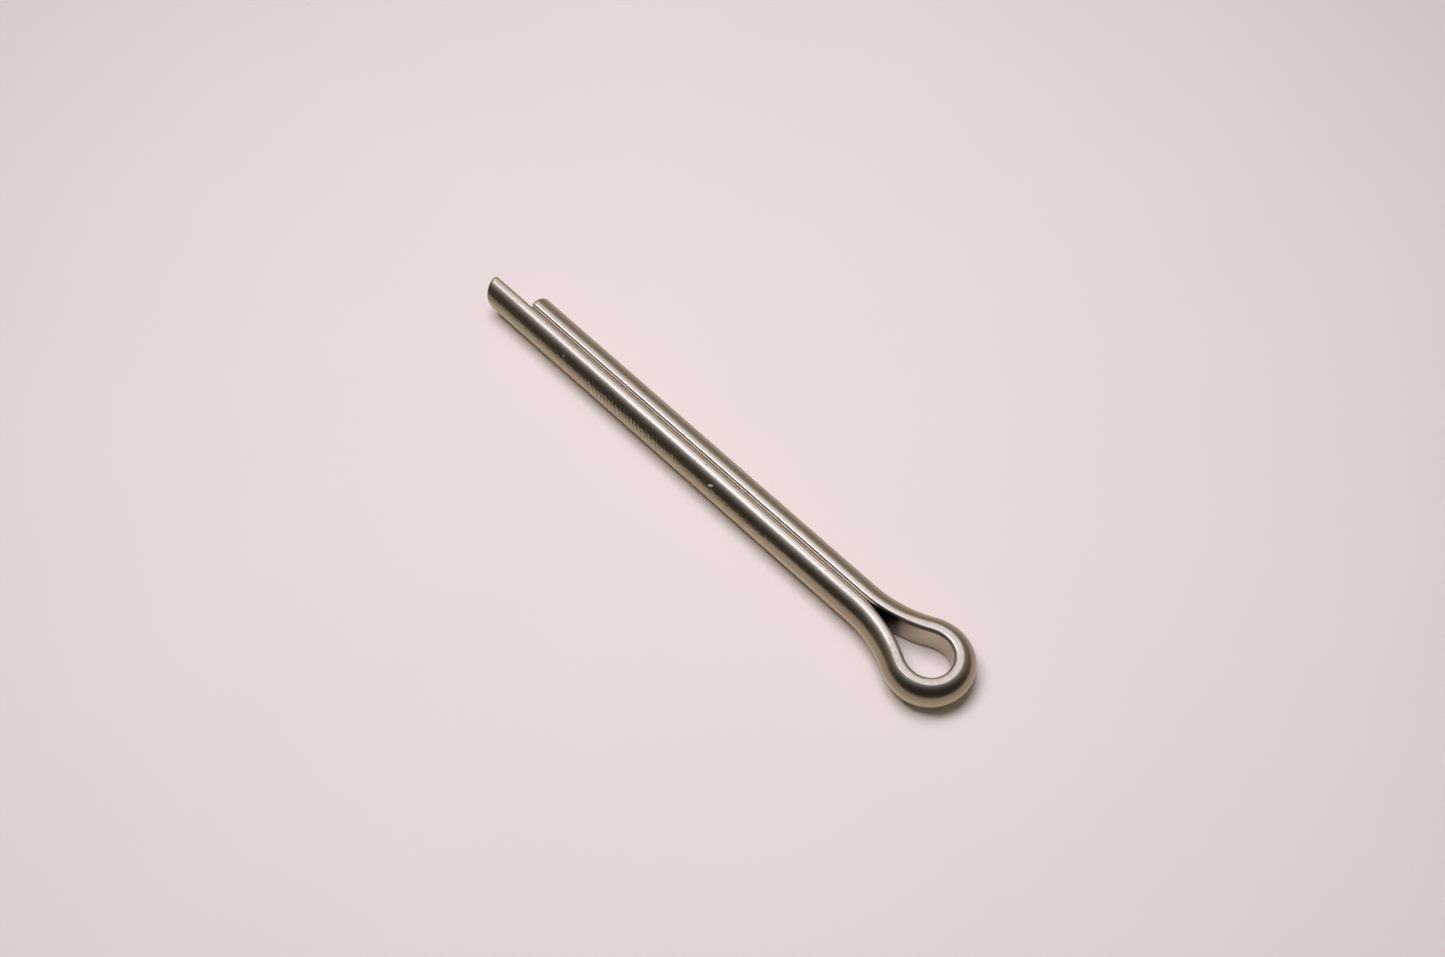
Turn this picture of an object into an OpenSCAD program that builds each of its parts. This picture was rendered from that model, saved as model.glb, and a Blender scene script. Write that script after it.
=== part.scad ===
// Cotter pin (split pin) lying flat: one length of half-round wire, folded back on itself round an eye.
// The flats of the two legs face each other, so together they make one nearly round shank.
// X runs along the shank from the tips to the eye, Y across the two legs, and Z is up. The pin rests on
// Z = 0, and the origin is under the middle of its box.

/* [Wire] */
// Diameter of the wire's round back, which the shank's diameter follows
back_d = 3.05; // [2.8:0.05:3.4]
// Thickness of the wire from its flat to its back
wire_t = 1.63; // [1.5:0.01:1.75]
// Radius of the two edges between the flat and the back
edge_r = 0.37; // [0.2:0.01:0.45]

/* [Legs] */
// Diameter of the drilled hole that the pin is made for
hole_d = 3.6; // [3.4:0.05:4.4]
// Nominal length, from the shoulder that stops in the hole's mouth to the end of the short leg
pin_len = 37.1; // [15:0.1:80]
// Length that the long leg stands past the short one
leg_extra = 3.9; // [1:0.1:10]
// Gap that spring-back leaves between the two flats
leg_gap = 0.09; // [0.04:0.01:0.3]
// Lean of the long leg's sheared end, with its upper edge foremost
long_cut_deg = 23; // [5:1:40]
// Break on the edge of the short leg's end
tip_break = 0.2; // [0.1:0.01:0.5]

/* [Eye] */
// Width inside the eye's round end
eye_bore = 3.52; // [3:0.01:5]
// Inside radius of the two cheeks, between the round end and the neck
cheek_r = 2.64; // [2.2:0.01:4]
// Angle at which each leg leaves the shank for the eye
neck_deg = 28.3; // [22:0.1:34]

/* [Hidden] */
$fn = 96;

// The wire's section: U is the distance out from the flat, and V the height. Each edge's circle touches
// the flat and the back, at a point that leans out from straight above the edge's centre. Shapes that cut
// reach well past the wire.
back_r = back_d / 2;
back_u = wire_t - back_r;
edge_rise = sqrt(pow(back_r - edge_r, 2) - pow(edge_r - back_u, 2));
edge_lean = asin((edge_r - back_u) / (back_r - edge_r));
half_h = edge_rise + edge_r;
reach = 4 * back_d;
edge_out = reach * [sin(edge_lean), cos(edge_lean)];

// The path of the flat: a straight leg, a neck that bends out, a cheek that bends back, and half a
// circle round the eye's end. Each arc starts in the direction in which the last one ends.
eye_r = eye_bore / 2;
flat_y = leg_gap / 2;
neck_r = (eye_r - flat_y) / (1 - cos(neck_deg)) - cheek_r;
neck_run = (neck_r + cheek_r) * sin(neck_deg);

// Distance from the neck's start to the shoulder, where the backs of the legs fill the hole's mouth
shoulder_y = max(hole_d / 2, flat_y + wire_t);
shoulder_deg = acos((flat_y + neck_r - shoulder_y) / (neck_r - wire_t));
shoulder_run = (neck_r - wire_t) * sin(shoulder_deg);

// Lengths of the two straight legs, and where the neck starts when the middle of the whole is at zero
short_leg = pin_len - shoulder_run;
long_leg = short_leg + leg_extra;
neck_x = (long_leg - neck_run - eye_r - wire_t) / 2;

// Moves a piece by v, first by whole thousandths and then by the rest, so that no digit is lost and
// neighbours meet exactly
module place(v) {
    whole = [for (c = v) round(c * 1000) / 1000];
    translate(whole) translate(v - whole) children();
}

// What the upper edge's centre sees on its own side of the middle: the edge's rounding, and the flat
// strip below it
module edge_part() {
    intersection() {
        circle(edge_r);
        polygon([[0, 0], [-reach, 0], [-reach, reach], edge_out]);
    }
    translate([-edge_r, -edge_rise - edge_r]) square([edge_r, edge_rise + edge_r]);
}

// Everything on the back's side of the line from the upper edge's centre to where its circle touches
// the back
module back_side()
    polygon([[0, 0], edge_out, [reach, -reach], [0, -reach]]);

// The D-shaped section, with its flat on U = 0 and its lowest point on V = 0
module wire_section()
    place([0, half_h]) {
        for (side = [0, 1]) mirror([0, side]) place([edge_r, edge_rise]) edge_part();
        intersection() {
            place([back_u, 0]) circle(back_r);
            place([edge_r, edge_rise]) back_side();
            mirror([0, 1]) place([edge_r, edge_rise]) back_side();
        }
    }

// Straight leg of the wire along X, with its flat facing the other leg
module straight_wire(length)
    translate([-length, flat_y, 0])
        rotate([90, 0, 90]) linear_extrude(length) wire_section();

// Half of the fold round the eye: neck, cheek and a quarter of the round end
module eye_half() {
    place([0, flat_y + neck_r, 0])
        rotate_extrude(angle = neck_deg, start = -90)
            place([neck_r, 0]) mirror([1, 0]) wire_section();
    place([neck_run, eye_r - cheek_r, 0])
        rotate_extrude(angle = neck_deg, start = 90)
            translate([cheek_r, 0]) wire_section();
    place([neck_run, 0, 0])
        rotate_extrude(angle = 90, start = 0)
            translate([eye_r, 0]) wire_section();
}

// Ring that breaks the edge of the short leg's square end
module tip_break_ring()
    translate([0, flat_y + back_u, half_h]) rotate([0, 90, 0]) rotate_extrude()
        polygon([[back_r - tip_break, -reach], [back_r - tip_break, 0],
                 [back_r - tip_break + reach, reach], [back_r - tip_break + reach, -reach]]);

module short_leg_wire()
    difference() {
        straight_wire(short_leg);
        translate([-short_leg, 0, 0]) tip_break_ring();
    }

// The long leg is sheared: its upper edge reaches the full length, and the cut leans back below it.
module long_leg_wire()
    mirror([0, 1, 0]) difference() {
        straight_wire(long_leg);
        translate([-long_leg, 0, 2 * half_h]) rotate([0, -long_cut_deg, 0])
            translate([-reach, -reach, -reach]) cube([reach, 2 * reach, 2 * reach]);
    }

module cotter_pin()
    color([0.62, 0.60, 0.56])
        place([neck_x, 0, 0]) {
            short_leg_wire();
            long_leg_wire();
            eye_half();
            mirror([0, 1, 0]) eye_half();
        }

cotter_pin();
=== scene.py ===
"""Cotter pin lying on a pale surface: the dressed wire, its steel, and a soft studio stage.

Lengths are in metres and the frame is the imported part's: X along the shank from the tips to the eye,
Y across the two legs, Z up, with the pin resting on Z = 0.
"""

import math

import bpy
import numpy as np
from bpy.props import FloatProperty, FloatVectorProperty, PointerProperty
from mathutils import Matrix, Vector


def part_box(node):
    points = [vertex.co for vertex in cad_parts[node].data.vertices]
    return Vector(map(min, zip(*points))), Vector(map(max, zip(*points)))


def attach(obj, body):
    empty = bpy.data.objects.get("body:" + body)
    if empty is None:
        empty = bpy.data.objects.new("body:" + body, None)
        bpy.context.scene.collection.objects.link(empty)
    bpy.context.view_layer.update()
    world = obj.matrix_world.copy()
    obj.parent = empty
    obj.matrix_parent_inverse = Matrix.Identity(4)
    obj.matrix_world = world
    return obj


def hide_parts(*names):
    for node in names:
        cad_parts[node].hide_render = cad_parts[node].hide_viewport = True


bl_info = {
    "name": "Cotter Pin",
    "version": (1, 0, 0),
    "blender": (4, 5, 0),
    "location": "3D View > Sidebar > Cotter Pin",
    "description": "Builds a split cotter pin of half-round wire and the stage that it lies on",
    "category": "Add Mesh",
}

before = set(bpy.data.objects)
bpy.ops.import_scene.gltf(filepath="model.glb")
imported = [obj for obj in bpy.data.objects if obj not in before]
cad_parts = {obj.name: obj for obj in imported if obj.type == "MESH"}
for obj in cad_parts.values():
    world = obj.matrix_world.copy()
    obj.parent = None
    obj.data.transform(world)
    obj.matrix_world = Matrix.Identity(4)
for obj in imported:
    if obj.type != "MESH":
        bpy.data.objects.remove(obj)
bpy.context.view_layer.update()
PIN_LOW, PIN_HIGH = (np.array(corner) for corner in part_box("cotter_pin"))
HALF_HEIGHT = PIN_HIGH[2] / 2
QUARTER = math.pi / 2


class WireSettings(bpy.types.PropertyGroup):
    """Sizes of the folded wire"""

    back_d: FloatProperty(
        name="Back diameter", description="Diameter of the wire's round back", default=0.00305,
        unit="LENGTH")
    wire_t: FloatProperty(
        name="Thickness", description="Thickness of the wire from its flat to its back", default=0.001665,
        unit="LENGTH")
    edge_r: FloatProperty(
        name="Edge radius", description="Radius of the two edges between the flat and the back",
        default=0.00037, unit="LENGTH")
    leg_gap: FloatProperty(
        name="Leg gap", description="Gap between the flats of the two legs", default=0.00002, unit="LENGTH")
    leg_extra: FloatProperty(
        name="Leg extra", description="Length that the long leg stands past the short one", default=0.0039,
        unit="LENGTH")
    eye_bore: FloatProperty(
        name="Eye width", description="Width inside the eye's round end", default=0.00345, unit="LENGTH")
    shoulder: FloatProperty(
        name="Shoulder", description="Width of the level part that bending left on the wire round the eye",
        default=0.00025, unit="LENGTH")
    long_shoulder: FloatProperty(
        name="Long leg's shoulder", description="Width of the level part along the long leg",
        default=0.00001, unit="LENGTH")
    short_shoulder: FloatProperty(
        name="Short leg's shoulder", description="Extra width of the level part along the short leg",
        default=0.0001, unit="LENGTH")
    cheek_r: FloatProperty(
        name="Cheek radius", description="Inside radius of the eye's two cheeks", default=0.00264,
        unit="LENGTH")
    neck_angle: FloatProperty(
        name="Neck angle", description="Angle at which each leg leaves the shank for the eye",
        default=math.radians(28.3), subtype="ANGLE")
    upset: FloatProperty(
        name="Upset", description="Extra thickness inside the bend of the eye's round end", default=0.00004,
        unit="LENGTH")
    long_cut: FloatProperty(
        name="Long end's lean", description="Lean of the long leg's sheared end", default=math.radians(23),
        subtype="ANGLE")
    short_break: FloatProperty(
        name="Short end's break", description="Rounding of the short leg's end", default=0.0002,
        unit="LENGTH")
    long_break: FloatProperty(
        name="Long end's break", description="Rounding of the long leg's sheared end", default=0.00014,
        unit="LENGTH")


class SteelSettings(bpy.types.PropertyGroup):
    """Colour and finish of the drawn steel"""

    colour: FloatVectorProperty(
        name="Steel colour", description="Colour of the bright drawn steel", default=(0.34, 0.294, 0.205),
        size=3, min=0, max=1, subtype="COLOR")
    # Painted reflection: the steel is paler low on the outer backs, where it mirrors the pale surface.
    low_reflection_colour: FloatVectorProperty(
        name="Low colour", description="Colour of the steel low on the outer backs",
        default=(0.475, 0.413, 0.268), size=3, min=0, max=1, subtype="COLOR")
    # Painted light: the inner side is paler, most near the top, for light between the legs and on the inner
    # walls.
    inner_light_colour: FloatVectorProperty(
        name="Inner colour", description="Colour of the lightened steel on the wire's inner side",
        default=(0.65, 0.575, 0.455), size=3, min=0, max=1, subtype="COLOR")
    # Painted shade: a dark colour in the corner where the legs meet at the eye, where shade falls.
    corner_shade_colour: FloatVectorProperty(
        name="Corner colour", description="Colour of the shaded corner where the legs meet at the eye",
        default=(0.13, 0.11, 0.09), size=3, min=0, max=1, subtype="COLOR")
    nick_colour: FloatVectorProperty(
        name="Nick colour", description="Colour of the bare steel in the nick", default=(0.9, 0.87, 0.80),
        size=3, min=0, max=1, subtype="COLOR")
    roughness: FloatProperty(
        name="Roughness", description="Mean roughness of the drawn surface", default=0.262, min=0, max=1,
        subtype="FACTOR")
    rubbed_roughness: FloatProperty(
        name="Rubbed roughness", description="Roughness of the long leg's rubbed back", default=0.285, min=0,
        max=1, subtype="FACTOR")
    inner_roughness: FloatProperty(
        name="Inner roughness", description="Roughness of the wire's inner side", default=0.268, min=0,
        max=1, subtype="FACTOR")
    cut_roughness: FloatProperty(
        name="Cut roughness", description="Roughness of the cut ends", default=0.42, min=0, max=1,
        subtype="FACTOR")
    nick_roughness: FloatProperty(
        name="Nick roughness", description="Roughness inside the nick", default=0.75, min=0, max=1,
        subtype="FACTOR")
    dent_depth: FloatProperty(
        name="Dent depth", description="Depth of the nick and the dents", default=0.00003, unit="LENGTH")
    line_depth: FloatProperty(
        name="Line depth", description="Depth of the drawing lines along the wire", default=0.0000012,
        unit="LENGTH")
    cross_depth: FloatProperty(
        name="Cross depth", description="Depth of the faint marks across the wire", default=0.0000003,
        unit="LENGTH")
    pit_depth: FloatProperty(
        name="Pit depth", description="Most depth of the pits on the rubbed back", default=0.000096,
        unit="LENGTH")


class StageSettings(bpy.types.PropertyGroup):
    """Surface, lights and camera"""

    paper_colour: FloatVectorProperty(
        name="Surface colour", description="Colour of the pale surface", default=(0.90, 0.79, 0.772),
        size=3, min=0, max=1, subtype="COLOR")
    paper_size: FloatProperty(
        name="Surface size", description="Side of the square surface", default=1.2, unit="LENGTH")
    overhead_power: FloatProperty(
        name="Overhead light", description="Power of the light that the steel mirrors", default=0.37,
        unit="POWER")
    light_colour: FloatVectorProperty(
        name="Light colour", description="Colour of the light above and of the pale patch",
        default=(1.0, 1.03, 1.42), size=3, min=0, max=2, subtype="COLOR")
    fill_power: FloatProperty(
        name="Side fill", description="Power of the matt light from the overhead light's place",
        default=0.46, unit="POWER")
    window_power: FloatProperty(
        name="Window light", description="Power of the soft light that only matt surfaces show",
        default=2.76, unit="POWER")
    ceiling_power: FloatProperty(
        name="Ceiling light", description="Power of the wide light that only matt surfaces show",
        default=1.37, unit="POWER")
    patch_way: FloatVectorProperty(
        name="Patch direction", description="Direction of the pale patch high on the far side",
        default=(-0.151, 0.151, 0.977), size=3, subtype="DIRECTION")
    patch_strength: FloatProperty(
        name="Patch strength", description="Brightness of the middle of the pale patch", default=2.4)
    camera_tilt: FloatProperty(
        name="Camera elevation", description="Angle of the camera above the surface",
        default=math.radians(60.3), subtype="ANGLE")
    camera_turn: FloatProperty(
        name="Camera azimuth", description="Angle of the camera round the pin, from across the long leg",
        default=math.radians(45.381), subtype="ANGLE")
    camera_range: FloatProperty(
        name="Camera distance", description="Distance from the camera to the pin", default=0.17605,
        unit="LENGTH")
    camera_roll: FloatProperty(
        name="Camera roll", description="Turn of the camera about its own axis",
        default=math.radians(-0.081), subtype="ANGLE")
    camera_aim: FloatVectorProperty(
        name="Camera aim", description="Point of the shank that the camera looks at",
        default=(0.0001, 0.00018, 0.0015), size=3, subtype="TRANSLATION", unit="LENGTH", precision=6)
    lens: FloatProperty(
        name="Lens", description="Focal length of the lens in millimetres", default=58.395)


# ---------------------------------------------------------------- wire

# distance between stations on the legs, and steps along each arc of half the wire
LEG_STEP = 0.00025
NECK_STEPS, CHEEK_STEPS, END_STEPS = 90, 46, 80
# steps up half the flat, round the edge, on from the shoulder to the back, and over the back
FLAT_STEPS, EDGE_STEPS, ROLL_STEPS, BACK_STEPS = 8, 13, 6, 59
# steps round a broken edge, the share of its size to which an end shrinks before its pole, and how far out
# the pole lies, as a share of the back's radius
BREAK_STEPS = 6
LEAST_SCALE = 0.03
POLE_OUT = 0.4
# length near the long end over which the stations lean with the shear
SHEAR_REACH = 0.005
# length of the neck over which the shoulder grows, and length of the eye's end over which the short leg's
# extra shoulder fades
SHOULDER_REACH = 0.0025
EXTRA_REACH = 0.004
# turn of the eye's round end by which the upset is full, on both sides
UPSET_TURN = math.radians(30)

# Stretches of surface: where each starts, is full, is last full and ends. The rubbed back and the chatter
# marks of the bending tool are measured along the wire from the short leg's tip, and the painted shade in the
# corner where the legs meet along X from where the neck starts.
RUBBED = (0.061, 0.067, 0.0935, 0.0985)
CHATTERED = (0.0729, 0.0769, 0.0825, 0.0865)
PAINTED_SHADE_SPAN = (0.00084, 0.00154, 0.00288, 0.00368)


def arc(centre, radius, start, end, count):
    """Points on a circle: centre plus radius times (cos a, sin a), with a in even steps from start to end.

    Returns the points and the angles.
    """
    a = np.linspace(start, end, count)
    return np.stack([centre[0] + radius * np.cos(a), centre[1] + radius * np.sin(a)], axis=1), a


def wire_path(w):
    """Middle line of the wire's round back, from the short leg's tip round the eye to the long leg's tip.

    Half of it is a straight leg, a neck arc that bends out by the neck angle, a cheek arc that bends back
    by the same angle, and a quarter circle. The other half is its mirror image in Y with a longer leg.
    Returns points, headings, and the distance along the line.
    """
    back_u = w.wire_t - w.back_d / 2
    flat_y = w.leg_gap / 2
    eye_r = w.eye_bore / 2
    turn = w.neck_angle
    neck_r = (eye_r - flat_y) / (1 - math.cos(turn)) - w.cheek_r
    eye_x = PIN_HIGH[0] - eye_r - w.wire_t
    neck_x = eye_x - (neck_r + w.cheek_r) * math.sin(turn)

    def half(length):
        x = np.linspace(neck_x - length, neck_x, int(length / LEG_STEP), endpoint=False)
        leg = np.stack([x, np.full_like(x, flat_y + back_u)], axis=1)
        neck, a1 = arc((neck_x, flat_y + neck_r), neck_r - back_u, -QUARTER, turn - QUARTER, NECK_STEPS)
        cheek, a2 = arc((eye_x, eye_r - w.cheek_r), w.cheek_r + back_u, turn + QUARTER, QUARTER, CHEEK_STEPS)
        end, a3 = arc((eye_x, 0), eye_r + back_u, QUARTER, 0, END_STEPS)
        points = np.concatenate([leg, neck[:-1], cheek[:-1], end])
        heading = np.concatenate([0 * x, a1[:-1] + QUARTER, a2[:-1] - QUARTER, a3 - QUARTER])
        return points, heading

    full_leg = neck_x - PIN_LOW[0]
    short, short_heading = half(full_leg - w.leg_extra)
    long, long_heading = half(full_leg)
    points = np.concatenate([short, long[::-1][1:] * [1, -1]])
    heading = np.concatenate([short_heading, -2 * QUARTER - long_heading[::-1][1:]])
    steps = np.hypot(*np.diff(points, axis=0).T)
    return points, heading, np.concatenate([[0], np.cumsum(steps)])


def fade(x, none, full):
    """0 up to none, 1 from full on, and between them three times the share squared less twice it cubed.

    none may be more than full, and the fade then runs the other way.
    """
    share = np.clip((x - none) / (full - none), 0, 1)
    return share * share * (3 - 2 * share)


def stretch(x, start, full, last, end):
    """A fade in from start to full, times a fade out from last to end."""
    return fade(x, start, full) * fade(x, end, last)


def wire_section(r, flat, shoulder, edge):
    """D-shaped section for each station, with a level shoulder at the top and bottom.

    From the middle of the flat it runs up to an edge arc, a quarter of a turn, then along the level
    shoulder, then round a part of an arc of the same radius that touches the back's circle, over the back,
    and the same way below. flat is the flat's distance out from the back's middle and shoulder the level
    part's width. Returns the distance out and the height, with a row for each station and a column for
    each point.
    """
    r, flat, shoulder, edge = (np.asarray(a, float)[:, None] for a in (r, flat, shoulder, edge))
    start = flat + edge
    seat = start + shoulder
    rise = np.sqrt((r - edge) ** 2 - seat ** 2)
    lean = np.arcsin(seat / (r - edge))
    up = np.linspace(0, 1, FLAT_STEPS)[None, :-1]
    first = math.pi - QUARTER * np.linspace(0, 1, EDGE_STEPS)[None, :]
    second = QUARTER - lean * np.linspace(0, 1, ROLL_STEPS)[None, :-1]
    back = (QUARTER - lean) * np.linspace(1, -1, BACK_STEPS)[None, :-1]
    upper_u = [flat + 0 * up, start + edge * np.cos(first), seat + edge * np.cos(second)]
    upper_v = [rise * up, rise + edge * np.sin(first), rise + edge * np.sin(second)]
    upper_u, upper_v = np.concatenate(upper_u, axis=1), np.concatenate(upper_v, axis=1)
    u = [upper_u, r * np.cos(back), r * np.cos(QUARTER - lean), upper_u[:, :0:-1]]
    v = [upper_v, r * np.sin(back), -r * np.sin(QUARTER - lean), -upper_v[:, :0:-1]]
    return np.concatenate(u, axis=1), np.concatenate(v, axis=1)


def close_end(break_r):
    """Stations that round an end over and close it, counted outwards from the start of the rounding.

    The rounding is a quarter circle of radius break_r: the section is inset by one minus its cosine while
    the station moves out by its sine. Then the section shrinks in even steps towards its middle.
    Returns inset, distance out and scale for each station.
    """
    a = np.linspace(0, QUARTER, BREAK_STEPS + 1)[1:]
    shrink = np.linspace(1, LEAST_SCALE, BREAK_STEPS + 4)[1:]
    rest = np.ones(len(shrink))
    inset = np.concatenate([break_r * (1 - np.cos(a)), break_r * rest])
    out = np.concatenate([break_r * np.sin(a), break_r * rest])
    return inset, out, np.concatenate([np.ones(BREAK_STEPS), shrink])


def wire_grid(w):
    """Points of the whole wire on a grid of stations along it and places round its section.

    The section is carried along the path: a point is the path's point, plus the distance out times the
    path's normal, plus the height. Inside the eye's round end the flat stands further in by the upset.
    Near the long end the stations slide back along the wire by what the shear took off at their height,
    so the last ones lie in the cut. Returns the points, each station's distance along the wire, the
    distance round the section, and the marks of the surface.
    """
    points, heading, along = wire_path(w)
    length = along[-1]
    r, back_u = w.back_d / 2, w.wire_t - w.back_d / 2
    cheek_x = PIN_HIGH[0] - w.eye_bore / 2 - w.wire_t - (w.cheek_r + back_u) * math.sin(w.neck_angle)
    bent = stretch(-heading, -w.neck_angle, UPSET_TURN, math.pi - UPSET_TURN, math.pi + w.neck_angle)
    flat = -back_u - w.upset * np.where(points[:, 0] > cheek_x, bent, 0)
    least = w.long_shoulder + w.short_shoulder * fade(along, length / 2, length / 2 - EXTRA_REACH)
    level = least + (w.shoulder - least) * fade(points[:, 0], cheek_x - SHOULDER_REACH, cheek_x)

    in_a, out_a, scale_a = close_end(w.short_break)
    in_b, out_b, scale_b = close_end(w.long_break)
    kept = along[(along > w.short_break) & (along < length - w.long_break)]
    station = np.concatenate([w.short_break - out_a[::-1], kept, length - w.long_break + out_b])
    inset = np.concatenate([in_a[::-1], 0 * kept, in_b])
    scale = np.concatenate([scale_a[::-1], 1 + 0 * kept, scale_b])[:, None]
    cut = np.concatenate([out_a[::-1] / w.short_break, 0 * kept, out_b / w.long_break]) ** 2
    x, y, turn, flat, level = (np.interp(station, along, a) for a in (*points.T, heading, flat, level))

    plain_u, plain_v = wire_section([r], [-back_u], [w.long_shoulder], [w.edge_r])
    u, v = wire_section(r - inset, flat + inset, level, w.edge_r - inset)
    middle = POLE_OUT * r
    u, v = middle + (u - middle) * scale, v * scale * HALF_HEIGHT / plain_v.max()
    slide = -math.tan(w.long_cut) * fade(length - station, SHEAR_REACH, 0)[:, None] * (HALF_HEIGHT - v)
    tan_x, tan_y = np.cos(turn)[:, None], np.sin(turn)[:, None]
    grid = np.stack([x[:, None] - tan_y * u + tan_x * slide, y[:, None] + tan_x * u + tan_y * slide,
                     HALF_HEIGHT + v], axis=2)

    around = np.hypot(*(np.diff(a[0], append=a[0, :1]) for a in (plain_u, plain_v)))
    neck_x = points[np.argmax(np.abs(heading) > 1e-4), 0]
    marks = surface_marks(w, station, length, x - neck_x, plain_u, plain_v)
    marks["cut"] = np.repeat(cut, len(around))
    return grid, station, np.concatenate([[0], np.cumsum(around)]), marks


def surface_marks(w, station, length, past_neck, out, height):
    """How much each point of the wire belongs to each kind of surface, from 0 to 1.

    station is the distance along the wire, past_neck the distance past the neck's start along X, out the
    distance out from the back's middle, and height the height over the middle. A mark is a product of fades
    along the wire and round its section. The inner side, whose paler colour is painted light between the
    legs and on the inner walls, reaches less far round the edge on the long leg, and counts for less under
    the top's edge. The rubbing and the chatter marks lie on the back's middle part, the paler steel, a
    painted reflection of the pale surface, on its lower part, and the painted shade of the corner where the
    legs meet on the flat.
    """
    edge = w.edge_r
    off_flat = out + w.wire_t - w.back_d / 2
    back = out > 0
    share = height / HALF_HEIGHT
    reach = np.where(station > length / 2, 0.75, 0.98)[:, None] * edge
    top = 1 - 0.6 * fade(HALF_HEIGHT - height, 0.7 * edge, 1.2 * edge)
    marks = {
        # painted light: the paler colour of the inner side; the same mark sets its roughness
        "inside": fade(off_flat, reach, reach - 0.5 * edge) * top,
        "rubbed": back * fade(np.abs(share), 0.72, 0.32) * stretch(station, *RUBBED)[:, None],
        "chatter": back * fade(np.abs(share), 0.82, 0.52) * stretch(station, *CHATTERED)[:, None],
        # painted reflection: the paler colour low on the backs, where they mirror the pale surface
        "low": back * fade(share, 0.38, 0) * np.ones((len(station), 1)),
        # painted shade in the corner where the legs meet, on the flat
        "painted_shade": fade(off_flat, 0.6 * edge, 0.1 * edge) * stretch(past_neck, *PAINTED_SHADE_SPAN)[:, None],
    }
    return {name: values.ravel() for name, values in marks.items()}


def tube_mesh(name, grid, station, around, marks):
    """Mesh of a closed tube from its grid, with the two ends closed by a pole each.

    Each face joins two stations and two neighbouring places; the last place joins the first. The map
    called Drawn holds the distance along the wire and the distance round the section, in metres. The
    marks hold values for the grid's points that become attributes; a pole takes the mean of its end.
    """
    rows, cols = grid.shape[:2]
    poles = np.stack([grid[0].mean(axis=0), grid[-1].mean(axis=0)])
    verts = np.concatenate([grid.reshape(-1, 3), poles])
    i, j = (a.ravel() for a in np.meshgrid(np.arange(rows - 1), np.arange(cols), indexing="ij"))
    k = (j + 1) % cols
    quads = np.stack([i * cols + j, (i + 1) * cols + j, (i + 1) * cols + k, i * cols + k], axis=1)
    ring, after = np.arange(cols), (np.arange(cols) + 1) % cols
    first = np.stack([np.full(cols, rows * cols), ring, after], axis=1)
    base = (rows - 1) * cols
    last = np.stack([np.full(cols, rows * cols + 1), base + after, base + ring], axis=1)
    corners = np.concatenate([quads.ravel(), first.ravel(), last.ravel()])
    sizes = np.concatenate([np.full(len(quads), 4), np.full(2 * cols, 3)])

    mesh = bpy.data.meshes.new(name)
    mesh.vertices.add(len(verts))
    mesh.vertices.foreach_set("co", verts.astype(np.float32).ravel())
    mesh.loops.add(len(corners))
    mesh.loops.foreach_set("vertex_index", corners.astype(np.int32))
    mesh.polygons.add(len(sizes))
    mesh.polygons.foreach_set("loop_start", np.concatenate([[0], np.cumsum(sizes)[:-1]]).astype(np.int32))
    mesh.polygons.foreach_set("use_smooth", np.ones(len(sizes), bool))
    mesh.update(calc_edges=True)
    mesh.validate()

    def face_map(*places):
        """Map coordinates of like faces, from the distance along and the distance round of each corner."""
        corner_maps = [np.stack(np.broadcast_arrays(*place), axis=1) for place in places]
        return np.stack(corner_maps, axis=1).reshape(-1, 2)

    low, high, middle = around[:-1], around[1:], (around[:-1] + around[1:]) / 2
    here, there = station[i], station[i + 1]
    drawn = np.concatenate([
        face_map((here, low[j]), (there, low[j]), (there, high[j]), (here, high[j])),
        face_map((station[:1], middle), (station[:1], low), (station[:1], high)),
        face_map((station[-1:], middle), (station[-1:], high), (station[-1:], low))])
    layer = mesh.uv_layers.new(name="Drawn", do_init=False)
    layer.uv.foreach_set("vector", drawn.astype(np.float32).ravel())
    for key, values in marks.items():
        values = np.concatenate([values, [values[:cols].mean(), values[-cols:].mean()]])
        mesh.attributes.new(key, "FLOAT", "POINT").data.foreach_set("value", values.astype(np.float32))
    return mesh


# ---------------------------------------------------------------- nodes


def node(tree, kind, *where, **values):
    """Adds a node, places it, sets its properties and, where a value names an input, that input."""
    n = tree.nodes.new(kind)
    n.location = where
    for key, value in values.items():
        if hasattr(n, key):
            setattr(n, key, value)
        else:
            n.inputs[key.replace("_", " ")].default_value = value
    return n


def feed(tree, socket, source):
    """Joins an input to an output, or sets it to a plain value."""
    if isinstance(source, bpy.types.NodeSocket):
        tree.links.new(source, socket)
    else:
        socket.default_value = source


def feed_all(tree, sockets, sources):
    """Feeds inputs in order."""
    for socket, source in zip(sockets, sources):
        feed(tree, socket, source)


def mix_value(tree, x, y, share, base, over):
    """Value that goes from base to over as share goes from 0 to 1."""
    n = node(tree, "ShaderNodeMix", x, y, data_type="FLOAT")
    feed_all(tree, (n.inputs[0], n.inputs[2], n.inputs[3]), (share, base, over))
    return n.outputs[0]


def mix_colour(tree, x, y, share, base, over, way="MIX"):
    """Colour that goes from base to over, or to both together, as share goes from 0 to 1."""
    n = node(tree, "ShaderNodeMix", x, y, data_type="RGBA", blend_type=way)
    feed_all(tree, (n.inputs[0], n.inputs[6], n.inputs[7]), (share, base, over))
    return n.outputs[2]


def compute(tree, x, y, operation, *sources):
    """Result of an operation on values."""
    n = node(tree, "ShaderNodeMath", x, y, operation=operation)
    feed_all(tree, n.inputs, sources)
    return n.outputs["Value"]


def compute_vector(tree, x, y, operation, *sources):
    """Result of an operation on vectors or colours: a value for a dot product or a length."""
    n = node(tree, "ShaderNodeVectorMath", x, y, operation=operation)
    feed_all(tree, n.inputs, sources)
    return n.outputs["Value" if operation in ("DOT_PRODUCT", "LENGTH") else "Vector"]


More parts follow.
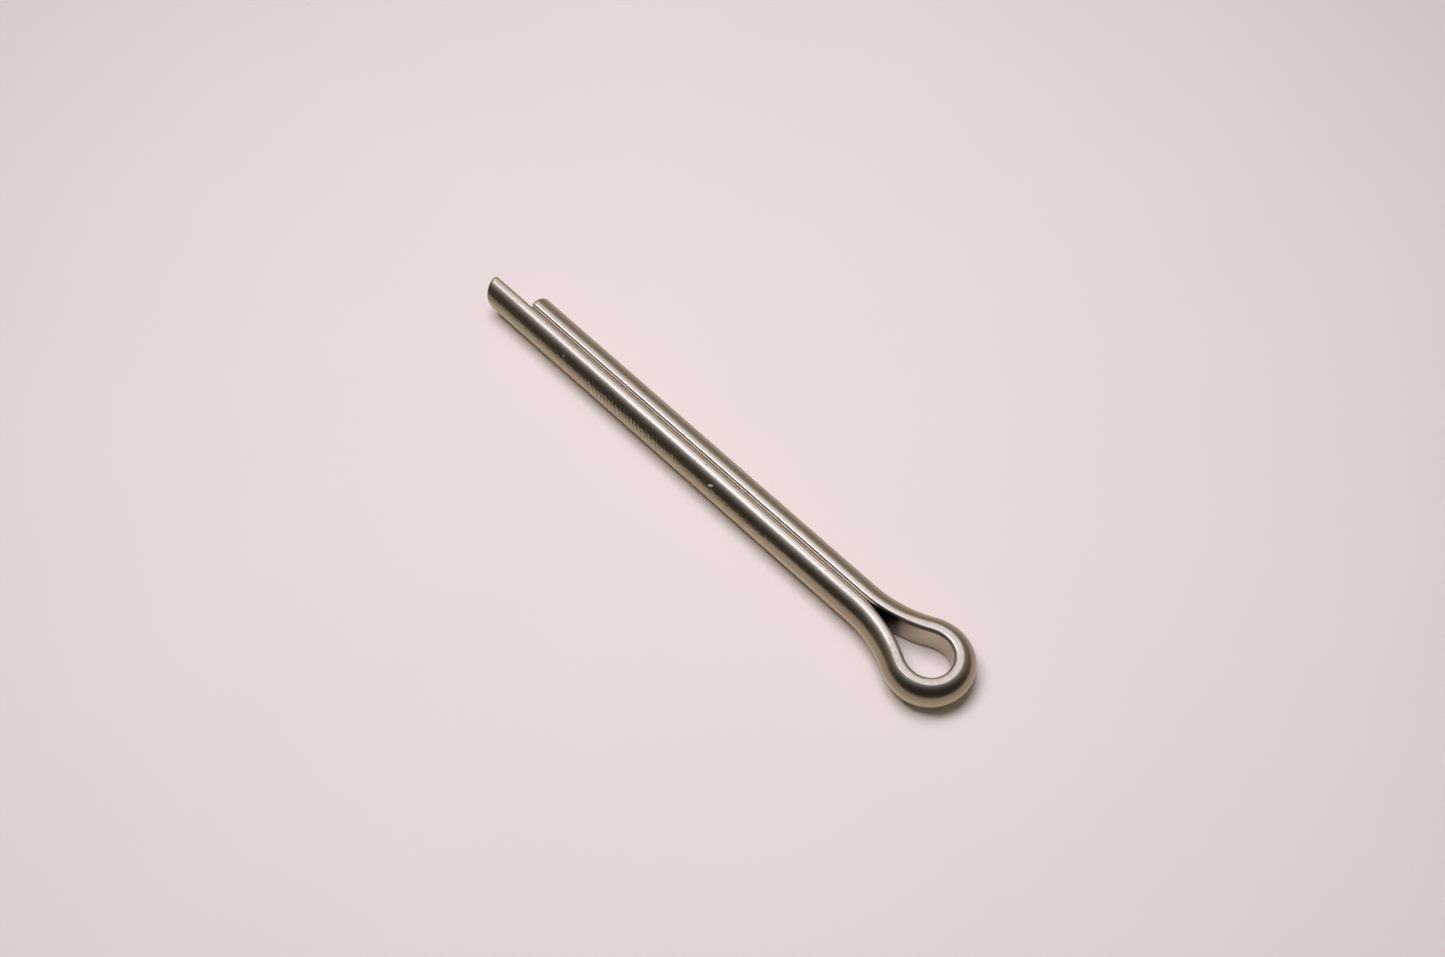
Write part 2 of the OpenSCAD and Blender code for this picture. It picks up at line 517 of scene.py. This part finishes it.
def stretched_noise(tree, coords, scale, x, y, **values):
    """Noise on coordinates that are multiplied by scale first."""
    mapping = node(tree, "ShaderNodeMapping", x, y)
    mapping.inputs["Scale"].default_value = scale
    feed(tree, mapping.inputs["Vector"], coords)
    noise = node(tree, "ShaderNodeTexNoise", x + 200, y, Scale=1.0, **values)
    feed(tree, noise.inputs["Vector"], mapping.outputs["Vector"])
    return noise.outputs["Fac"]


def ramp(tree, source, x, y, *stops):
    """Colour ramp through stops of position and grey value or colour."""
    n = node(tree, "ShaderNodeValToRGB", x, y)
    elements = n.color_ramp.elements
    while len(elements) < len(stops):
        elements.new(0.5)
    for element, (position, value) in zip(elements, stops):
        element.position = position
        element.color = (*value, 1) if isinstance(value, tuple) else (value, value, value, 1)
    feed(tree, n.inputs["Fac"], source)
    return n.outputs["Color"]


def bump(tree, x, y, distance, height, normal=None, **values):
    """Normal that a height over the surface gives, on top of another normal if there is one."""
    n = node(tree, "ShaderNodeBump", x, y, Distance=distance, Strength=1.0, **values)
    feed(tree, n.inputs["Height"], height)
    if normal:
        feed(tree, n.inputs["Normal"], normal)
    return n.outputs["Normal"]


def mark(tree, name, x, y):
    """Value of one of the surface's marks."""
    return node(tree, "ShaderNodeAttribute", x, y, attribute_name=name).outputs["Fac"]


def turned(tree, coords, angle, x, y):
    """Coordinates turned about Z by an angle."""
    n = node(tree, "ShaderNodeVectorRotate", x, y, rotation_type="Z_AXIS", Angle=angle)
    feed(tree, n.inputs["Vector"], coords)
    return n.outputs["Vector"]


def new_material(name):
    """A material with an empty node tree, its output and one shader."""
    material = bpy.data.materials.new(name)
    material.use_nodes = True
    tree = material.node_tree
    tree.nodes.clear()
    out = node(tree, "ShaderNodeOutputMaterial", 900, 0)
    shader = node(tree, "ShaderNodeBsdfPrincipled", 600, 0)
    feed(tree, out.inputs["Surface"], shader.outputs["BSDF"])
    return material, tree, shader


# ---------------------------------------------------------------- steel

# middle and half size of the nick and of each small dent, as distances along the wire and round its
# section, and the turn of the nick's long axis from the wire's length towards its outer back
NICK = ((0.06986, 0.00277), (0.00040, 0.00013))
NICK_TURN = math.radians(38)
DENTS = (((0.07112, 0.00179), (0.00010, 0.00008)), ((0.08593, 0.00276), (0.00012, 0.00008)),
         ((0.01026, 0.00143), (0.00010, 0.00007)))
# lean of the chatter strokes from square to the wire, and their depth as a share of the pits' depth
STROKE_LEAN = math.radians(24)
STROKE_DEPTH = 0.10
# shares of the steel's colour, from least to most, in streaks, spots and strokes, and of its roughness
# from the dull streaks to the clear ones
STREAKED = (0.93, 1.0)
SPOTTED = (0.93, 1.05)
STROKED = (0.62, 1.25)
DULLED = (1.02, 0.99)


def dent_mask(tree, drawn, place, size, x, y, angle=0.0):
    """1 in the middle of an oval on the Drawn map and 0 outside it: one minus the scaled distance, eased.

    The oval's long axis is turned by angle from the wire's length towards its outer back.
    """
    offset = compute_vector(tree, x, y, "SUBTRACT", drawn, (*place, 0))
    offset = turned(tree, offset, -angle, x + 100, y - 100)
    scaled = compute_vector(tree, x + 200, y, "DIVIDE", offset, (*size, 1))
    reach = compute_vector(tree, x + 400, y, "LENGTH", scaled)
    mask = node(tree, "ShaderNodeMapRange", x + 600, y, interpolation_type="SMOOTHSTEP", To_Min=1, To_Max=0)
    feed(tree, mask.inputs["Value"], reach)
    return mask.outputs["Result"]


def chatter_strokes(tree, drawn):
    """Short strokes that the bending tool left side by side, leaning and a little uneven."""
    strokes = node(tree, "ShaderNodeTexWave", -1300, 1100, wave_type="BANDS", bands_direction="X",
                   Scale=840.0, Distortion=5.0, Detail=1.0, Detail_Scale=0.7)
    feed(tree, strokes.inputs["Vector"], turned(tree, drawn, -STROKE_LEAN, -1500, 1100))
    return strokes.outputs["Fac"]


def steel_colour(tree, s, drawn, lines, strokes, nick):
    """Streaked steel with spots, chatter strokes and the nick, paler low on the backs as a painted reflection
    of the pale surface, paler on the inner side as painted light, and dark in the corner where the legs
    meet as painted shade.
    """
    spots = stretched_noise(tree, drawn, (3200, 3200, 1), -1300, 800, Detail=3.0, Roughness=0.6)
    dark, bright = (tuple(c * share for c in s.colour) for share in STREAKED)
    streaks = ramp(tree, lines, -700, 350, (0.30, dark), (0.70, bright))
    # painted reflection: paler low on the backs, where the steel mirrors the pale surface
    paler = mix_colour(tree, -550, 650, mark(tree, "low", -900, 550), streaks, (*s.low_reflection_colour, 1))
    spotted = ramp(tree, spots, -1000, 800, *zip((0.32, 0.66), SPOTTED))
    stroked = ramp(tree, strokes, -1000, 1100, *zip((0.10, 0.90), STROKED))
    chatter = mix_colour(tree, -600, 1200, mark(tree, "chatter", -1000, 1400), (1, 1, 1, 1), stroked)
    worn = compute_vector(tree, -500, 900, "MULTIPLY", spotted, chatter)
    colour = compute_vector(tree, -450, 500, "MULTIPLY", paler, worn)
    # painted light: paler colour on the inner side, between the legs and on the inner walls
    colour = mix_colour(tree, -300, 350, mark(tree, "inside", -700, 600), colour, (*s.inner_light_colour, 1))
    # painted shade: dark colour in the corner where the legs meet at the eye
    colour = mix_colour(tree, -150, 450, mark(tree, "painted_shade", -300, 600), colour, (*s.corner_shade_colour, 1))
    return mix_colour(tree, 0, 350, nick, colour, (*s.nick_colour, 1))


def steel_roughness(tree, s, lines, nick):
    """Faintly streaked, with its own values on the rubbed back, the cut ends, the inner side and the nick."""
    dull, clear = (s.roughness * share for share in DULLED)
    rough = ramp(tree, lines, -700, 100, (0.30, dull), (0.70, clear))
    rough = mix_value(tree, -500, 100, mark(tree, "rubbed", -700, -50), rough, s.rubbed_roughness)
    rough = mix_value(tree, -300, 50, mark(tree, "cut", -500, -50), rough, s.cut_roughness)
    rough = mix_value(tree, -100, 100, mark(tree, "inside", -300, -50), rough, s.inner_roughness)
    return mix_value(tree, 50, 100, nick, rough, s.nick_roughness)


def steel_relief(tree, s, drawn, lines, strokes, nick):
    """Drawing lines, faint cross marks, pits on the rubbed back, chatter strokes, and the nick and dents."""
    cross = stretched_noise(tree, drawn, (3600, 900, 1), -1300, -400, Detail=1.0)
    pits = stretched_noise(tree, drawn, (5600, 4600, 1), -1300, -700, Detail=1.0)
    normal = bump(tree, -300, -250, s.line_depth, lines)
    normal = bump(tree, 200, -350, s.cross_depth, cross, normal)
    pitted = compute(tree, -450, -900, "MULTIPLY", pits, mark(tree, "rubbed", -700, -850))
    combed = compute(tree, -450, -1100, "MULTIPLY", strokes, mark(tree, "chatter", -700, -1100))
    uneven = compute(tree, -200, -900, "MULTIPLY_ADD", combed, STROKE_DEPTH, pitted)
    normal = bump(tree, 200, -700, s.pit_depth, uneven, normal)
    dents = nick
    for k, (place, size) in enumerate(DENTS):
        y = -1250 - 250 * k
        dents = compute(tree, -300, y, "MAXIMUM", dents, dent_mask(tree, drawn, place, size, -1300, y))
    return bump(tree, 200, -1000, s.dent_depth, dents, normal, invert=True)


def steel_material(s):
    """Bright drawn steel, whose cut ends, inner side and tool marks follow the surface's marks."""
    material, tree, shader = new_material("drawn_steel")
    shader.inputs["Metallic"].default_value = 1
    drawn = node(tree, "ShaderNodeUVMap", -1500, 0, uv_map="Drawn").outputs["UV"]
    lines = stretched_noise(tree, drawn, (90, 4500, 1), -1300, 200, Detail=1.0)
    strokes = chatter_strokes(tree, drawn)
    nick = dent_mask(tree, drawn, *NICK, -1300, -1000, NICK_TURN)
    feed(tree, shader.inputs["Base Color"], steel_colour(tree, s, drawn, lines, strokes, nick))
    feed(tree, shader.inputs["Roughness"], steel_roughness(tree, s, lines, nick))
    feed(tree, shader.inputs["Normal"], steel_relief(tree, s, drawn, lines, strokes, nick))
    return material


# ---------------------------------------------------------------- stage

# distance from the middle over which the pale surface's colour falls off, a painted fall-off of the light
# towards the edges, the share of it that is left there, the share that its faint mottling leaves, and the
# depth of its grain
LIGHT_FALLOFF_REACH, LIGHT_FALLOFF_REST = 0.09, 0.72
MOTTLED = 0.985
GRAIN_DEPTH = 0.00001
# greys of the room from the near side to the far side
ROOM_GREYS = ((0.0, (0.045, 0.034, 0.027)), (0.20, (0.05, 0.038, 0.030)), (0.33, (0.062, 0.045, 0.034)),
              (0.60, (0.17, 0.140, 0.11)), (1.0, (0.48, 0.40, 0.34)))
# brightness of the pale patch by the cosine of the angle from its middle
PATCH_FALL = ((0.25, 0.0), (0.423, 0.014), (0.574, 0.055), (0.669, 0.127), (0.743, 0.25), (0.809, 0.34),
              (0.891, 0.48), (0.934, 0.57), (0.951, 0.68), (0.966, 0.86), (0.978, 1.0))
# share of the pale patch that is left from the near side to the far side
PATCH_SHADE = ((0.20, 0.15), (0.30, 0.30), (0.45, 0.70), (0.55, 0.90), (0.75, 1.0))
# middle and size of each light, with the overhead light's shared by the side fill
OVERHEAD = ((-0.23, -0.157, 0.585), (0.20, 0.07))
WINDOW = ((-0.15, 0.03, 0.60), (0.30, 0.40))
CEILING = ((0, 0, 0.60), (1.20, 1.20))
# colours of the lights that only matt surfaces show: the shadows are warmer than the lit surface
FILL_COLOUR = (1.04, 1.0, 0.82)
WINDOW_COLOUR = (0.99, 1.004, 1.10)
CEILING_COLOUR = (1.08, 0.99, 0.80)


def paper_material(s):
    """Matt pale surface with a faint, fine unevenness, whose colour falls off with the distance squared as a
    painted fall-off of the light towards the edges.
    """
    material, tree, shader = new_material("pale_surface")
    coords = node(tree, "ShaderNodeTexCoord", -1100, 0).outputs["Object"]
    mottle = stretched_noise(tree, coords, (60, 60, 60), -900, 100, Detail=4.0)
    grain = stretched_noise(tree, coords, (2500, 2500, 2500), -900, -200, Detail=3.0)
    colour = tuple(s.paper_colour)
    tint = ramp(tree, mottle, -400, 150, (0.25, tuple(c * MOTTLED for c in colour)), (0.75, colour))
    # painted shade: the colour darkens away from the middle, standing in for the light's fall-off
    square = compute(tree, -700, 400, "POWER", compute_vector(tree, -900, 400, "LENGTH", coords), 2.0)
    painted_falloff = node(tree, "ShaderNodeMapRange", -500, 400, From_Max=LIGHT_FALLOFF_REACH ** 2, To_Min=1.0,
                   To_Max=LIGHT_FALLOFF_REST)
    feed(tree, painted_falloff.inputs["Value"], square)
    tint = compute_vector(tree, 100, 250, "MULTIPLY", tint, painted_falloff.outputs["Result"])
    feed(tree, shader.inputs["Base Color"], tint)
    shader.inputs["Roughness"].default_value = 0.9
    shader.inputs["Specular IOR Level"].default_value = 0.15
    feed(tree, shader.inputs["Normal"], bump(tree, -100, -250, GRAIN_DEPTH, grain))
    return material


def room_light(s):
    """World light: nearly dark on the camera's side, grey on the far side, with a pale patch high up there.

    The grey follows the direction's part along the far side. The patch follows the cosine of the angle
    between the direction and the patch's middle, and fades towards the camera's side.
    """
    world = bpy.data.worlds.new("room")
    bpy.context.scene.world = world
    world.use_nodes = True
    tree = world.node_tree
    tree.nodes.clear()
    out = node(tree, "ShaderNodeOutputWorld", 600, 0)
    sky = node(tree, "ShaderNodeBackground", 400, 0)
    feed(tree, out.inputs["Surface"], sky.outputs["Background"])
    way = node(tree, "ShaderNodeTexCoord", -900, 0).outputs["Generated"]
    far_side = (-math.sin(s.camera_turn), math.cos(s.camera_turn), 0)
    far = compute_vector(tree, -700, 150, "DOT_PRODUCT", way, far_side)
    high = compute_vector(tree, -700, -150, "DOT_PRODUCT", way, s.patch_way)
    across = node(tree, "ShaderNodeMapRange", -500, 150, From_Min=-1, From_Max=1)
    feed(tree, across.inputs["Value"], far)
    across = across.outputs["Result"]
    grey = ramp(tree, across, -300, 150, *ROOM_GREYS)
    patch = ramp(tree, high, -300, -150, *PATCH_FALL)
    shade = ramp(tree, across, -300, -450, *PATCH_SHADE)
    patch = compute_vector(tree, -150, -300, "MULTIPLY", patch, shade)
    strength = tuple(c * s.patch_strength for c in s.light_colour)
    patch = compute_vector(tree, -50, -300, "MULTIPLY", patch, strength)
    feed(tree, sky.inputs["Color"], mix_colour(tree, 0, 0, 1.0, grey, patch, way="ADD"))
    world.cycles_visibility.diffuse = False


def matrix_of(x, y, z, place):
    """World matrix with the given axes and place."""
    m = np.eye(4)
    m[:3, 0], m[:3, 1], m[:3, 2], m[:3, 3] = x, y, z, place
    return Matrix(m.tolist())


def area_light(name, place, size, power, colour, mirrored):
    """A rectangular light at place that faces the pin, with its width along the frame's X.

    A mirrored light shows in the steel only, and the others light matt surfaces only, like lights behind
    crossed polarisers.
    """
    data = bpy.data.lights.new(name, "AREA")
    data.shape, data.size, data.size_y = "RECTANGLE", *size
    data.energy, data.color = power, colour
    lamp = bpy.data.objects.new(name, data)
    bpy.context.collection.objects.link(lamp)
    back = np.array(place, float) / np.linalg.norm(place)
    side = np.array([1.0, 0, 0]) - back[0] * back
    side /= np.linalg.norm(side)
    lamp.matrix_world = matrix_of(side, np.cross(back, side), back, place)
    lamp.visible_glossy = mirrored
    lamp.visible_diffuse = not mirrored


def add_camera(s):
    """The camera looks at a point of the shank from its elevation, azimuth and distance."""
    e, a, roll = s.camera_tilt, s.camera_turn, s.camera_roll
    back = np.array([math.cos(e) * math.sin(a), -math.cos(e) * math.cos(a), math.sin(e)])
    right = np.array([math.cos(a), math.sin(a), 0])
    up = np.cross(back, right)
    side = right * math.cos(roll) + up * math.sin(roll)
    rise = up * math.cos(roll) - right * math.sin(roll)
    data = bpy.data.cameras.new("camera")
    data.lens, data.sensor_width, data.sensor_fit = s.lens, 36, "HORIZONTAL"
    data.clip_start, data.clip_end = 0.005, 20
    camera = bpy.data.objects.new("camera", data)
    bpy.context.collection.objects.link(camera)
    camera.matrix_world = matrix_of(side, rise, back, np.array(s.camera_aim) + s.camera_range * back)
    bpy.context.scene.camera = camera


# ---------------------------------------------------------------- operators


class PIN_OT_wire(bpy.types.Operator):
    """Build the folded wire and give it its drawn steel"""

    bl_idname = "cotter_pin.wire"
    bl_label = "Wire"

    def execute(self, context):
        scene = context.scene
        mesh = tube_mesh("folded_wire", *wire_grid(scene.pin_wire))
        wire = bpy.data.objects.new("folded_wire", mesh)
        context.collection.objects.link(wire)
        mesh.materials.append(steel_material(scene.pin_steel))
        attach(wire, "root")
        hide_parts("cotter_pin")
        return {"FINISHED"}


class PIN_OT_stage(bpy.types.Operator):
    """Build the pale surface, the lights and the camera"""

    bl_idname = "cotter_pin.stage"
    bl_label = "Stage"

    def execute(self, context):
        s = context.scene.pin_stage
        half = s.paper_size / 2
        corners = [(-half, -half, 0), (half, -half, 0), (half, half, 0), (-half, half, 0)]
        mesh = bpy.data.meshes.new("surface")
        mesh.from_pydata(corners, [], [(0, 1, 2, 3)])
        mesh.materials.append(paper_material(s))
        surface = bpy.data.objects.new("surface", mesh)
        context.collection.objects.link(surface)
        room_light(s)
        area_light("overhead", *OVERHEAD, s.overhead_power, s.light_colour, True)
        area_light("side_fill", *OVERHEAD, s.fill_power, FILL_COLOUR, False)
        area_light("window", *WINDOW, s.window_power, WINDOW_COLOUR, False)
        area_light("ceiling", *CEILING, s.ceiling_power, CEILING_COLOUR, False)
        add_camera(s)
        context.scene.view_settings.view_transform = "Standard"
        return {"FINISHED"}


class PIN_PT_panel(bpy.types.Panel):
    """Lists the pin's sizes, its finish and the operators"""

    bl_label = "Cotter Pin"
    bl_space_type = "VIEW_3D"
    bl_region_type = "UI"
    bl_category = "Cotter Pin"

    def draw(self, context):
        scene = context.scene
        for group, kind in ((scene.pin_wire, WireSettings), (scene.pin_steel, SteelSettings),
                            (scene.pin_stage, StageSettings)):
            box = self.layout.box()
            for name in kind.__annotations__:
                box.prop(group, name)
        for operator in (PIN_OT_wire, PIN_OT_stage):
            self.layout.operator(operator.bl_idname)


CLASSES = (WireSettings, SteelSettings, StageSettings, PIN_OT_wire, PIN_OT_stage, PIN_PT_panel)


def register():
    for cls in CLASSES:
        bpy.utils.register_class(cls)
    bpy.types.Scene.pin_wire = PointerProperty(type=WireSettings)
    bpy.types.Scene.pin_steel = PointerProperty(type=SteelSettings)
    bpy.types.Scene.pin_stage = PointerProperty(type=StageSettings)


def unregister():
    del bpy.types.Scene.pin_stage, bpy.types.Scene.pin_steel, bpy.types.Scene.pin_wire
    for cls in reversed(CLASSES):
        bpy.utils.unregister_class(cls)


def main():
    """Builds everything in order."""
    register()
    bpy.ops.cotter_pin.wire()
    bpy.ops.cotter_pin.stage()
    bpy.context.view_layer.update()


if __name__ == "__main__":
    main()
